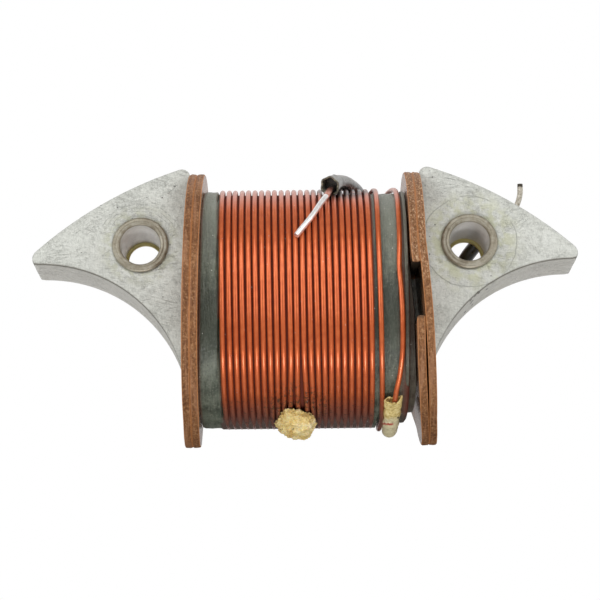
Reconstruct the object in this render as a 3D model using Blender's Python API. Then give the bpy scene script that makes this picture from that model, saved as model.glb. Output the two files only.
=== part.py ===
"""Flywheel-magneto ignition coil: a laminated armature with two pole wings, wound with red enamelled wire.

Frame: +X along the coil's axis, +Y towards the convex pole side, +Z out of the face that the screw heads sit on.
The origin is midway between the two screw holes, on the plane that the rivets' back rims sit on.
The coil parts are modelled about the coil's own axis, and an empty places them in the frame.
All sizes are in metres.
"""
import math

import bmesh
import bpy
from mathutils import Matrix, Vector

MM = 0.001

# Iron stack
SHEETS = 10
STACK = 9.0 * MM
SHEET_GAP = 0.04 * MM
SCREW_SPAN = 43.2 * MM          # centre to centre of the two screw holes
HOLE_ABOVE_AXIS = 7.95 * MM     # from the coil's axis to the line through the holes
LEG_WIDTH = 6.0 * MM
WING_INNER_X = 15.45 * MM
WING_TOP_Y = 18.35 * MM         # height of the wing's inner corner above the coil's axis
WING_FOOT = (16.4 * MM, -7.0 * MM)
WING_TIP_X = 35.8 * MM
POLE_RADIUS = 52.7 * MM         # convex arc that faces the flywheel
HOLLOW_RADIUS = 19.5 * MM       # concave arc under each wing
HOLLOW_CENTRE = (34.95 * MM, -14.0 * MM)
TIP_NOSE = 1.3 * MM
CORNER_ROUND = 1.1 * MM

# Tubular rivets
BORE = 5.2 * MM
RIVET_WALL = 0.5 * MM
RIVET_FLARE = 7.4 * MM
RIVET_RIM = 0.46 * MM
RIVET_EDGE = 0.15 * MM
RIVET_CLEARANCE = 0.08 * MM

# Cheeks
CHEEK_RADIUS = 18.1 * MM
CHEEK_THICK = 1.07 * MM
CHEEK_GAP = 0.03 * MM
CHEEK_SLOT_PLAY = 0.4 * MM
LEFT_CHEEK_X = 15.42 * MM       # outer face of each pair
RIGHT_CHEEK_X = 15.2 * MM
RIGHT_BEND_Y = 5.0 * MM         # below this height the right pair leans outwards
RIGHT_LEAN = 0.075
SLOT_TURN = math.radians(-4.5)

# Windings and wraps, as half-widths of a rounded square
COIL_SQUARENESS = 2.35          # 2 is round, more is squarer
WINDING_HALF_LENGTH = 12.85 * MM
LEG_INSULATION = 0.6 * MM
INNER_WINDING_RADIUS = 13.9 * MM
PAPER_RADIUS = 14.25 * MM
WRAP_RADIUS = 14.55 * MM
WRAP_END_RADIUS = 15.3 * MM
LAYER_GAP = 0.04 * MM
WIRE = 0.66 * MM
WIRE_PITCH = 0.85 * MM
TURNS = 23
TURN_STEPS = 16
WINDING_START_X = -10.98 * MM
WINDING_RADIUS = 15.24 * MM     # to the middle of the wire
LEAD_SLEEVE = 1.9 * MM

PARTS = bpy.data.collections.new("ignition_coil")
CUTTERS = bpy.data.collections.new("cutters")


def clear_scene():
    """Remove whatever the new file holds."""
    for leftover in list(bpy.data.objects):
        bpy.data.objects.remove(leftover, do_unlink=True)
    bpy.context.scene.collection.children.link(PARTS)
    bpy.context.scene.collection.children.link(CUTTERS)


def material(name, colour, roughness, metallic=0.0):
    """A Principled material."""
    made = bpy.data.materials.new(name)
    made.use_nodes = True
    shader = made.node_tree.nodes["Principled BSDF"]
    shader.inputs["Base Color"].default_value = (*colour, 1.0)
    shader.inputs["Roughness"].default_value = roughness
    shader.inputs["Metallic"].default_value = metallic
    return made


def add_object(name, data, finish, parent, collection=None):
    """Link an object for the given mesh or curve and hang it on its parent empty."""
    made = bpy.data.objects.new(name, data)
    (collection or PARTS).objects.link(made)
    if finish:
        data.materials.append(finish)
    made.parent = parent
    return made


def add_bmesh(name, shape, finish, parent, smooth_angle=None):
    """Turn a bmesh into a named object, with its faces pointing out."""
    bmesh.ops.recalc_face_normals(shape, faces=shape.faces)
    if shape.calc_volume(signed=True) < 0:
        bmesh.ops.reverse_faces(shape, faces=shape.faces)
    data = bpy.data.meshes.new(name)
    shape.to_mesh(data)
    shape.free()
    if smooth_angle:
        data.shade_smooth()
        data.set_sharp_from_angle(angle=math.radians(smooth_angle))
    return add_object(name, data, finish, parent)


def arc(centre, radius, start, end, steps):
    """Points along an arc in a plane, both ends included, with angles in radians."""
    angles = [start + (end - start) * i / steps for i in range(steps + 1)]
    return [(centre[0] + radius * math.cos(a), centre[1] + radius * math.sin(a)) for a in angles]


def wing_outline():
    """The right wing and half of the leg, from the leg's lower edge round to its upper edge."""
    foot_x, foot_y = WING_FOOT
    foot_angle = math.pi - math.asin((foot_y - HOLLOW_CENTRE[1]) / HOLLOW_RADIUS)
    points = [(foot_x, -LEG_WIDTH / 2), (foot_x, foot_y)]
    points += arc(HOLLOW_CENTRE, HOLLOW_RADIUS, foot_angle, math.pi / 2, 9)

    corner_x = WING_INNER_X + CORNER_ROUND
    pole_y = WING_TOP_Y - math.sqrt(POLE_RADIUS**2 - corner_x**2)
    nose_x = WING_TIP_X - TIP_NOSE
    nose_y = pole_y + math.sqrt((POLE_RADIUS - TIP_NOSE) ** 2 - nose_x**2)
    pole_end = math.atan2(nose_y - pole_y, nose_x)
    points += arc((nose_x, nose_y), TIP_NOSE, math.radians(-33), pole_end, 4)

    corner_y = pole_y + math.sqrt((POLE_RADIUS - CORNER_ROUND) ** 2 - corner_x**2)
    pole_start = math.atan2(corner_y - pole_y, corner_x)
    points += arc((0.0, pole_y), POLE_RADIUS, pole_end, pole_start, 9)[1:]
    points += arc((corner_x, corner_y), CORNER_ROUND, pole_start, math.pi, 3)[1:]
    points.append((WING_INNER_X, LEG_WIDTH / 2))
    return points


def flat_plate(name, outline, thickness, finish, parent):
    """A plate of the given XY outline, from z = 0 up."""
    shape = bmesh.new()
    face = shape.faces.new([shape.verts.new((x, y, 0.0)) for x, y in outline])
    raised = bmesh.ops.extrude_face_region(shape, geom=[face])
    moved = [item for item in raised["geom"] if isinstance(item, bmesh.types.BMVert)]
    bmesh.ops.translate(shape, verts=moved, vec=(0.0, 0.0, thickness))
    return add_bmesh(name, shape, finish, parent)


def cylinder_cutter(name, radius, depth, location, parent, segments=20):
    """A hidden cylinder along Z that other pieces are cut by."""
    shape = bmesh.new()
    bmesh.ops.create_cone(
        shape, cap_ends=True, segments=segments, radius1=radius, radius2=radius, depth=depth
    )
    data = bpy.data.meshes.new(name)
    shape.to_mesh(data)
    shape.free()
    cutter = add_object(name, data, None, parent, CUTTERS)
    cutter.location = location
    cutter.hide_render = True
    cutter.display_type = "WIRE"
    return cutter


def box_cutter(name, size, location, parent):
    """A hidden box that other pieces are cut by."""
    shape = bmesh.new()
    bmesh.ops.create_cube(shape, size=1.0, matrix=Matrix.Diagonal((*size, 1.0)))
    data = bpy.data.meshes.new(name)
    shape.to_mesh(data)
    shape.free()
    cutter = add_object(name, data, None, parent, CUTTERS)
    cutter.location = location
    cutter.hide_render = True
    cutter.display_type = "WIRE"
    return cutter


def cut(piece, cutter):
    """Subtract the cutter with an exact Boolean modifier."""
    modifier = piece.modifiers.new("cut_" + cutter.name, "BOOLEAN")
    modifier.operation = "DIFFERENCE"
    modifier.solver = "EXACT"
    modifier.object = cutter


def build_stack(axis, steel):
    """The laminations, one plate each, with the two screw holes through them."""
    right = wing_outline()
    left = [(-x, y) for x, y in reversed(right)]
    outline = right + left
    pitch = STACK / SHEETS
    hole_radius = BORE / 2 + RIVET_WALL + RIVET_CLEARANCE
    cutters = []
    for side, label in ((-1, "left"), (1, "right")):
        place = (side * SCREW_SPAN / 2, HOLE_ABOVE_AXIS, 0.0)
        cutters.append(cylinder_cutter(f"screw_hole_{label}", hole_radius, STACK * 2, place, axis))
    for number in range(SHEETS):
        name = f"core_lamination_{number + 1:02d}"
        sheet = flat_plate(name, outline, pitch - SHEET_GAP, steel, axis)
        sheet.location.z = -STACK / 2 + SHEET_GAP / 2 + pitch * number
        for cutter in cutters:
            cut(sheet, cutter)


def build_rivet(label, side, axis, finish):
    """A tube through the stack with both of its ends rolled outwards into a flat rim."""
    inner = BORE / 2
    outer = inner + RIVET_WALL
    rim = RIVET_FLARE / 2
    under = STACK / 2 + SHEET_GAP
    top = under + RIVET_RIM
    upper = [(inner, top - RIVET_EDGE), (inner + RIVET_EDGE, top), (rim - RIVET_EDGE, top),
             (rim, top - RIVET_EDGE), (rim, under), (outer, under)]
    profile = upper + [(x, -z) for x, z in reversed(upper)]
    shape = bmesh.new()
    corners = [shape.verts.new((x, 0.0, z)) for x, z in profile]
    edges = [shape.edges.new((corners[i], corners[(i + 1) % len(corners)])) for i in range(len(corners))]
    bmesh.ops.spin(
        shape, geom=corners + edges, cent=(0, 0, 0), axis=(0, 0, 1), angle=math.tau, steps=24, use_merge=True
    )
    bmesh.ops.remove_doubles(shape, verts=shape.verts, dist=1e-7)
    rivet = add_bmesh(f"mounting_rivet_{label}", shape, finish, axis, 40)
    rivet.location = (side * SCREW_SPAN / 2, HOLE_ABOVE_AXIS, 0.0)


def section_radius(half_width, angle):
    """How far the coil's rounded-square section reaches at an angle, turned from +Z towards +Y."""
    across, up = abs(math.sin(angle)), abs(math.cos(angle))
    return half_width * (across**COIL_SQUARENESS + up**COIL_SQUARENESS) ** (-1.0 / COIL_SQUARENESS)


def around(x, angle, half_width, lift=0.0):
    """A point at x along the axis and at an angle round it, lifted off the section of that half-width."""
    reach = section_radius(half_width, angle) + lift
    return Vector((x, reach * math.sin(angle), reach * math.cos(angle)))


def bore_point(x, angle, bore):
    """A point on the inside of a sleeve: a rounded square's half-width, or a (width, height) rectangle."""
    if not isinstance(bore, tuple):
        return around(x, angle, bore)
    across, up = abs(math.sin(angle)), abs(math.cos(angle))
    reach = min(bore[0] / 2 / max(across, 1e-9), bore[1] / 2 / max(up, 1e-9))
    return Vector((x, reach * math.sin(angle), reach * math.cos(angle)))


def ring_sleeve(name, profile, bore, finish, parent, steps=40):
    """A closed sleeve round the coil's axis, whose outside follows the (x, half-width) profile."""
    shape = bmesh.new()
    angles = [math.tau * i / steps for i in range(steps)]
    rings = [[shape.verts.new(around(x, angle, size)) for angle in angles] for x, size in profile]
    for x in (profile[-1][0], profile[0][0]):
        rings.append([shape.verts.new(bore_point(x, angle, bore)) for angle in angles])
    for first, second in zip(rings, rings[1:] + rings[:1]):
        for i in range(steps):
            j = (i + 1) % steps
            shape.faces.new((first[i], first[j], second[j], second[i]))
    return add_bmesh(name, shape, finish, parent, 35)


def ring_band(name, ends, inside, outside, start, end, finish, parent, steps=14):
    """A strip of tape that lies round part of the coil, from one angle in degrees to another."""
    shape = bmesh.new()
    sections = []
    for i in range(steps + 1):
        angle = math.radians(start + (end - start) * i / steps)
        places = [(ends[0], inside), (ends[1], inside), (ends[1], outside), (ends[0], outside)]
        sections.append([shape.verts.new(around(x, angle, size)) for x, size in places])
    for first, second in zip(sections, sections[1:]):
        for i in range(4):
            j = (i + 1) % 4
            shape.faces.new((first[i], first[j], second[j], second[i]))
    shape.faces.new(sections[0])
    shape.faces.new(sections[-1])
    return add_bmesh(name, shape, finish, parent, 35)


def build_leg_insulation(axis, finish):
    """The thin square tube between the iron leg and the windings."""
    clearance = 0.12 * MM
    inside = (LEG_WIDTH + 2 * clearance, STACK + 2 * clearance)
    outside = (inside[0] + 2 * LEG_INSULATION, inside[1] + 2 * LEG_INSULATION)
    shape = bmesh.new()
    size = Matrix.Diagonal((2 * WINDING_HALF_LENGTH, *outside, 1.0))
    bmesh.ops.create_cube(shape, size=1.0, matrix=size)
    tube = add_bmesh("core_leg_insulation", shape, finish, axis)
    cut(tube, box_cutter("leg_space", (4 * WINDING_HALF_LENGTH, *inside), (0, 0, 0), axis))
    return outside


def build_inner_winding(axis, leg_tube, finish, paper, cloth):
    """The fine-wire winding, the paper round it and the varnished cloth, drawn in under the outer wire."""
    clearance = 0.1 * MM
    bore = (leg_tube[0] + 2 * clearance, leg_tube[1] + 2 * clearance)
    end = WINDING_HALF_LENGTH - 0.25 * MM
    winding = [(-end, INNER_WINDING_RADIUS), (end, INNER_WINDING_RADIUS)]
    ring_sleeve("inner_winding", winding, bore, finish, axis)
    layer = [(-end, PAPER_RADIUS), (end, PAPER_RADIUS)]
    ring_sleeve("inner_winding_paper", layer, INNER_WINDING_RADIUS + LAYER_GAP, paper, axis)
    first = WINDING_START_X - 0.15 * MM
    edge = 0.3 * MM
    profile = [(-end, WRAP_END_RADIUS - edge), (-end + edge, WRAP_END_RADIUS), (first - edge, WRAP_END_RADIUS),
               (first, WRAP_RADIUS), (end, WRAP_RADIUS)]
    ring_sleeve("varnished_cloth_wrap", profile, PAPER_RADIUS + LAYER_GAP, cloth, axis)
    rolled = (WINDING_HALF_LENGTH - 0.3 * MM, WINDING_HALF_LENGTH + 0.1 * MM)
    under = WRAP_RADIUS + LAYER_GAP
    ring_band("wrap_rolled_edge", rolled, under, under + 0.7 * MM, -52, 200, cloth, axis, 24)
    ring_band("wrap_end_flap", (12.4 * MM, 13.5 * MM), under, under + 0.45 * MM, -58, -112, cloth, axis, 6)


def right_lean(y):
    """How far the right pair of cheeks leans outwards at a height."""
    return max(0.0, RIGHT_BEND_Y - y) * RIGHT_LEAN


def cheek(name, outer_face, side, slot_angle, parent, board):
    """A hard-paper cheek, slotted from its rim to just past the leg. The right pair leans outwards."""
    shape = bmesh.new()
    bmesh.ops.create_cone(
        shape, cap_ends=True, segments=48, radius1=CHEEK_RADIUS, radius2=CHEEK_RADIUS, depth=CHEEK_THICK,
        matrix=Matrix.Rotation(math.pi / 2, 4, "Y"),
    )
    if side > 0:
        for line in range(5):
            height = RIGHT_BEND_Y - line * 5.0 * MM
            everything = shape.verts[:] + shape.edges[:] + shape.faces[:]
            bmesh.ops.bisect_plane(
                shape, geom=everything, dist=1e-7, plane_co=(0.0, height, 0.0), plane_no=(0.0, 1.0, 0.0)
            )
        for vert in shape.verts:
            vert.co.x += right_lean(vert.co.y)
    plate = add_bmesh(name, shape, board, parent, 35)
    middle = side * (outer_face - CHEEK_THICK / 2)
    plate.location = (middle, 0.0, 0.0)

    opens_along_z = abs(math.cos(slot_angle)) > 0.5
    half_leg = (STACK if opens_along_z else LEG_WIDTH) / 2
    width = (LEG_WIDTH if opens_along_z else STACK) + 2 * CHEEK_SLOT_PLAY
    reach = CHEEK_RADIUS * 1.2
    floor = -half_leg - CHEEK_SLOT_PLAY
    slot = box_cutter("slot_" + name, (6 * CHEEK_THICK, width, reach - floor), (0, 0, 0), parent)
    centre = Matrix.Rotation(slot_angle, 3, "X") @ Vector((0.0, 0.0, (reach + floor) / 2))
    slot.location = (middle, centre.y, centre.z)
    slot.rotation_euler = (slot_angle, 0.0, 0.0)
    cut(plate, slot)


def build_cheeks(axis, board):
    """Two cheeks on each end: the inner of each pair is slotted one way and the outer across it."""
    step = CHEEK_THICK + CHEEK_GAP
    to_top, to_back, to_front = -math.pi / 2, math.pi, -SLOT_TURN
    cheek("cheek_left_outer", LEFT_CHEEK_X, -1, to_top, axis, board)
    cheek("cheek_left_inner", LEFT_CHEEK_X - step, -1, to_back, axis, board)
    cheek("cheek_right_outer", RIGHT_CHEEK_X, 1, to_top, axis, board)
    cheek("cheek_right_inner", RIGHT_CHEEK_X - step, 1, to_front, axis, board)


def tube_curve(name, points, radius, finish, parent, sides=2):
    """A round wire or sleeve through the points, with closed ends."""
    data = bpy.data.curves.new(name, "CURVE")
    data.dimensions = "3D"
    data.bevel_depth = radius
    data.bevel_resolution = sides
    data.use_fill_caps = True
    spline = data.splines.new("POLY")
    spline.points.add(len(points) - 1)
    for point, place in zip(spline.points, points):
        point.co = (*place, 1.0)
    return add_object(name, data, finish, parent)


def smooth_path(points, steps):
    """A Catmull-Rom curve through the points."""
    places = [Vector(point) for point in points]
    places = [2 * places[0] - places[1], *places, 2 * places[-1] - places[-2]]
    path = []
    for a, b, c, d in zip(places, places[1:], places[2:], places[3:]):
        for i in range(steps):
            t = i / steps
            path.append(0.5 * (2 * b + (c - a) * t + (2 * a - 5 * b + 4 * c - d) * t**2
                               + (3 * b - a - 3 * c + d) * t**3))
    path.append(places[-2])
    return path


def wound_path(route, half_width, steps):
    """A route of (x in mm, angle in degrees, lift in mm) that follows the coil's section."""
    path = []
    for x, angle, lift in smooth_path(route, steps):
        path.append(around(x * MM, math.radians(angle), half_width, lift * MM))
    return path


def build_outer_winding(axis, enamel):
    """The visible layer of red wire, and the single turn set off to its right."""
    points = []
    for i in range(TURNS * TURN_STEPS + 1):
        turn = i / TURN_STEPS
        x = WINDING_START_X + WIRE_PITCH * turn
        points.append(around(x, math.pi - math.tau * turn, WINDING_RADIUS))
    tube_curve("outer_winding", points, WIRE / 2, enamel, axis)
    route = [(8.75, 175, 0), (9.0, 125, 0), (9.26, 77, 0), (9.29, 20, 0), (9.47, -32, 0.05), (9.65, -80, 0.15),
             (9.5, -103, 0.45), (9.75, -135, 0.2), (9.95, -176, 0.1)]
    tube_curve("outer_winding_end_turn", wound_path(route, WINDING_RADIUS, 4), WIRE / 2, enamel, axis)


def build_finish_lead(axis, enamel, cream):
    """The last turn, which crosses the coil's right end and goes into the cream sleeve."""
    route = [(10.0, 179, 0), (10.2, 150, 0), (10.5, 120, 0), (10.9, 95, 0), (11.5, 80, 0), (11.9, 67, 0),
             (11.95, 40, 0), (11.9, 20, 0), (11.8, 8, 0), (12.0, -5, 0), (12.1, -19, 0), (12.05, -32, 0),
             (11.7, -44, 0.1), (11.1, -55, 0.4)]
    tube_curve("finish_lead_wire", wound_path(route, WINDING_RADIUS, 3), WIRE / 2, enamel, axis)
    route = [(10.98, -58.5, 0.6), (10.92, -75, 0.62), (10.92, -90, 0.62), (10.95, -106, 0.62)]
    tube_curve("cream_lead_sleeve", wound_path(route, WINDING_RADIUS, 3), LEAD_SLEEVE / 2, cream, axis)


def build_wax_seal(axis, wax):
    """The lump of wax over the lowest turns, flat where it sits on the wire."""
    shape = bmesh.new()
    bmesh.ops.create_icosphere(shape, subdivisions=2, radius=1.0)
    for vert in shape.verts:
        x, y, z = vert.co
        ripple = 1.0 + 0.08 * math.sin(5.1 * x + 1.3) * math.sin(4.3 * y + 0.4) + 0.05 * math.sin(7.0 * z + 2.0)
        vert.co = Vector((x * 2.7 * ripple, y * 3.0 * ripple, max(z * 1.8 * ripple, -0.2))) * MM
    lump = add_bmesh("wax_seal", shape, wax, axis, 60)
    angle = math.radians(-82)
    lump.location = around(-1.45 * MM, angle, WINDING_RADIUS, WIRE / 2 + 0.5 * MM)
    lump.rotation_euler = (-angle, 0.0, 0.0)


def build_start_lead(axis, enamel, sleeve, tinned):
    """The sleeved start of the winding, with its red wire and the stripped and tinned end."""
    rest = (WIRE + LEAD_SLEEVE) / 2 / MM + 0.12
    route = [(3.3, 62, rest), (4.6, 75, rest), (6.1, 90, rest), (7.4, 107, rest), (8.1, 128, rest),
             (8.3, 150, rest), (8.2, 172, rest)]
    tube_curve("start_lead_sleeve", wound_path(route, WINDING_RADIUS, 3), LEAD_SLEEVE / 2, sleeve, axis)
    route = [(3.2, 59, 1.35), (3.15, 54.5, 1.3), (3.0, 50.5, 1.25)]
    tube_curve("start_lead_wire", wound_path(route, WINDING_RADIUS, 3), WIRE / 2, enamel, axis)
    route = [(2.85, 48.5, 1.2), (2.0, 41, 1.1), (0.8, 32, 0.95), (-1.1, 22, 0.85)]
    tube_curve("start_lead_tinned_end", wound_path(route, WINDING_RADIUS, 3), WIRE / 2, tinned, axis)


def build_rear_lead(axis, sleeve, tinned):
    """The stiff sleeved lead that leaves over the right cheeks' rim and runs up behind the right wing."""
    route = [(11.25, -10.5, -12.6), (11.55, -7.9, -14.7), (12.3, -6.3, -16.9), (13.8, -5.2, -18.6),
             (16.0, -3.7, -19.1), (17.8, -1.0, -17.7), (18.9, 2.2, -14.8), (20.0, 5.4, -11.4),
             (21.5, 8.0, -8.5), (23.2, 10.1, -6.9), (25.0, 11.6, -6.4), (26.6, 12.9, -6.3)]
    path = smooth_path([Vector(point) * MM for point in route], 2)
    tube_curve("rear_lead_sleeve", path, LEAD_SLEEVE / 2, sleeve, axis)
    route = [(26.8, 13.1, -6.3), (28.3, 14.4, -6.3), (29.2, 15.9, -6.2), (29.6, 17.3, -6.1), (29.65, 18.7, -6.0)]
    path = smooth_path([Vector(point) * MM for point in route], 3)
    tube_curve("rear_lead_wire", path, WIRE / 2, tinned, axis)


def main():
    """Build every piece."""
    clear_scene()
    steel = material("lamination_steel", (0.56, 0.57, 0.54), 0.45, 0.85)
    rivet = material("rivet_brass_plated", (0.42, 0.36, 0.29), 0.4, 0.8)
    board = material("hard_paper", (0.38, 0.16, 0.07), 0.6)
    enamel = material("enamelled_wire", (0.55, 0.11, 0.03), 0.3)
    cloth = material("varnished_cloth", (0.10, 0.13, 0.11), 0.45)
    paper = material("winding_paper", (0.55, 0.45, 0.28), 0.8)
    fine_wire = material("fine_wire", (0.35, 0.10, 0.04), 0.5, 0.3)
    sleeve = material("dark_sleeve", (0.035, 0.035, 0.028), 0.3)
    cream = material("cream_sleeve", (0.60, 0.55, 0.40), 0.85)
    tinned = material("tinned_wire", (0.62, 0.60, 0.55), 0.35, 0.9)
    wax = material("wax", (0.62, 0.47, 0.20), 0.55)

    axis = bpy.data.objects.new("coil_axis", None)
    PARTS.objects.link(axis)
    axis.location = (0.0, -HOLE_ABOVE_AXIS, STACK / 2 + SHEET_GAP + RIVET_RIM)

    build_stack(axis, steel)
    build_rivet("left", -1, axis, rivet)
    build_rivet("right", 1, axis, rivet)
    build_cheeks(axis, board)
    leg_tube = build_leg_insulation(axis, paper)
    build_inner_winding(axis, leg_tube, fine_wire, paper, cloth)
    build_outer_winding(axis, enamel)
    build_finish_lead(axis, enamel, cream)
    build_wax_seal(axis, wax)
    build_start_lead(axis, enamel, sleeve, tinned)
    build_rear_lead(axis, sleeve, tinned)


main()
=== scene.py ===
"""Looks of the ignition coil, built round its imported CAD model.

Sizes are millimetres in the coil's own frame: X along the coil, +Y towards the convex pole side
of the iron, +Z towards the screw-head side, from the middle of the coil. world() turns them into
the row frame in metres.
"""

import math

import bmesh
import bpy
from mathutils import Matrix, Vector, noise

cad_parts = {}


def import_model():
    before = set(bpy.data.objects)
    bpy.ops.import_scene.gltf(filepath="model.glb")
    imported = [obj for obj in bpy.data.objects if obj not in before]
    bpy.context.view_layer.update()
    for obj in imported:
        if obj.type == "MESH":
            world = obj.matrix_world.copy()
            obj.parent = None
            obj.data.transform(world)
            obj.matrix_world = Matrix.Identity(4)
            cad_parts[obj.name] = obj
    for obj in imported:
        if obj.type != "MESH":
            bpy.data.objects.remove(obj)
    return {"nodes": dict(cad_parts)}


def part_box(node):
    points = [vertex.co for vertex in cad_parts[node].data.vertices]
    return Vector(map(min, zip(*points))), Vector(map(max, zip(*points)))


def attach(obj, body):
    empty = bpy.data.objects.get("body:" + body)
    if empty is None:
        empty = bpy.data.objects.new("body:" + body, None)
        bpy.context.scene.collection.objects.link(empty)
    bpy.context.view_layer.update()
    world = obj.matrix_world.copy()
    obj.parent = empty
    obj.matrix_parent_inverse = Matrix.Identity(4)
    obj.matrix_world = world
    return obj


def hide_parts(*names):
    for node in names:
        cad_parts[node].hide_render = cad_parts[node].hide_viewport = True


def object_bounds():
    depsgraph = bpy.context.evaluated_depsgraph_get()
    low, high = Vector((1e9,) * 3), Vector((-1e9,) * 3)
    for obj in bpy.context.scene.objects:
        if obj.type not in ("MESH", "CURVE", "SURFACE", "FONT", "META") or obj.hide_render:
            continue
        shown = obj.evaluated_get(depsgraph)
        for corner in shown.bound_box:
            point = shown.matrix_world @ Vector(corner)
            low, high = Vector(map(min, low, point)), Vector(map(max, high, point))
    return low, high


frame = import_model()
CAD_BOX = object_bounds()

MM = 0.001
low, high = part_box("inner_winding")
AXIS = (low + high) / 2
FLOOR_Z = CAD_BOX[0].z

# Iron stack and rivets
SHEETS, STACK, SHEET_GAP = 10, 9.0, 0.04
SCREW_SPAN, HOLE_Y = 43.2, 7.95
LEFT_HOLE, RIGHT_HOLE = (-SCREW_SPAN / 2, HOLE_Y, 0), (SCREW_SPAN / 2, HOLE_Y, 0)
LEG_WIDTH, WING_TOP_Y = 6.0, 18.35
WING_TIP_X, TIP_NOSE, CORNER_ROUND = 35.8, 1.3, 1.1
POLE_RADIUS, HOLLOW_RADIUS, HOLLOW_CENTRE = 52.7, 19.5, (34.95, -14.0)
BORE, SHEET_HOLE, RIM_RADIUS, RIM_TOP, RIVET_STEPS = 5.2, 3.18, 3.7, 5.0, 96

# Cheeks
CHEEK_RADIUS, CHEEK_THICK, CHEEK_STEP = 18.1, 0.99, 1.01
LEFT_CHEEK_X, RIGHT_CHEEK_X, WING_GAP = 15.42, 15.12, 0.04
LEFT_TILT, RIGHT_BEND_Y, RIGHT_LEAN = 0.0206, 5.0, 0.075
SLOT_TURN, SLOT_PLAY = 4.5, 0.4
LEFT_TWIST, RIGHT_TWIST, CHEEK_LAYERS, CHEEK_CROWN = -0.022, 0.036, 7, 0.13

# Coil
SQUARENESS = 2.35
PAPER_RADIUS, WRAP_RADIUS, WRAP_END_RADIUS, WRAP_LIMIT_X = 14.3, 14.86, 15.3, 13.05
WIRE, PITCH, TURNS, START_X, WINDING_RADIUS = 0.66, 0.85, 23, -10.98, 15.24
WIRE_SIDES, THINNEST = 14, 0.02
SLEEVE = 1.9
SLANT_Y, SLANT_Z = 0.974, 0.225  # the direction that is up in the picture


# ---- places and small helpers

def world(point):
    """A point of the coil's frame, in mm, as metres in the row frame."""
    return AXIS + Vector(point) * MM


def rough(point, scale, seed=0.0):
    """Smooth noise in -1..1 at a point, its scale in features per mm."""
    x, y, z = point
    return noise.noise(Vector((x * scale + seed, y * scale - seed, z * scale + 2 * seed)))


def section_radius(half_width, angle):
    """How far the coil's rounded-square section reaches at an angle, turned from +Z towards +Y."""
    across, up = abs(math.sin(angle)), abs(math.cos(angle))
    return half_width * (across**SQUARENESS + up**SQUARENESS) ** (-1.0 / SQUARENESS)


def around(x, angle, half_width, lift=0.0):
    """A point at x along the coil and at an angle round it, lifted off its section."""
    reach = section_radius(half_width, angle) + lift
    return Vector((x, reach * math.sin(angle), reach * math.cos(angle)))


def smooth_path(points, steps):
    """A Catmull-Rom curve through the points."""
    places = [Vector(point) for point in points]
    places = [2 * places[0] - places[1], *places, 2 * places[-1] - places[-2]]
    path = []
    for a, b, c, d in zip(places, places[1:], places[2:], places[3:]):
        for i in range(steps):
            t = i / steps
            path.append(0.5 * (2 * b + (c - a) * t + (2 * a - 5 * b + 4 * c - d) * t**2
                               + (3 * b - a - 3 * c + d) * t**3))
    path.append(places[-2])
    return path


def wound_path(route, steps):
    """A route of (x, angle in degrees, lift) that follows the coil's section."""
    return [around(x, math.radians(angle), WINDING_RADIUS, lift)
            for x, angle, lift in smooth_path(route, steps)]


def arc(centre, radius, start, end, steps):
    """Points along an arc in the plane, from one angle to another."""
    angles = [start + (end - start) * i / steps for i in range(steps + 1)]
    return [(centre[0] + radius * math.cos(a), centre[1] + radius * math.sin(a)) for a in angles]


def fade(t):
    """1 at 0, falling to 0 at 1 and beyond."""
    return max(0.0, 1 - t)


def limited(t):
    return max(0.0, min(1.0, t))


def new_object(name, data):
    made = bpy.data.objects.new(name, data)
    bpy.context.scene.collection.objects.link(made)
    return made


def preset(node, values):
    for socket, value in values.items():
        node.inputs[socket].default_value = value


def material(name):
    made = bpy.data.materials.new(name)
    made.use_nodes = True
    return made


# ---- camera

ELEVATION, DISTANCE, ROLL = math.radians(77), 278.25, math.radians(0.66)
TARGET = Vector((-0.73, 1.29, 0.30))
LENS, SENSOR_WIDTH = 126.0, 36.0
camera_data = bpy.data.cameras.new("camera")
camera_data.lens = LENS
camera_data.sensor_width = SENSOR_WIDTH
camera = new_object("camera", camera_data)
backward = Vector((0.0, -math.cos(ELEVATION), math.sin(ELEVATION)))
camera.location = world(TARGET + backward * DISTANCE)
camera.rotation_euler = (
    backward.to_track_quat("Z", "Y").to_matrix() @ Matrix.Rotation(-ROLL, 3, "Z")
).to_euler()
bpy.context.scene.camera = camera
bpy.context.scene.view_settings.view_transform = "Standard"


# ---- materials

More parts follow.
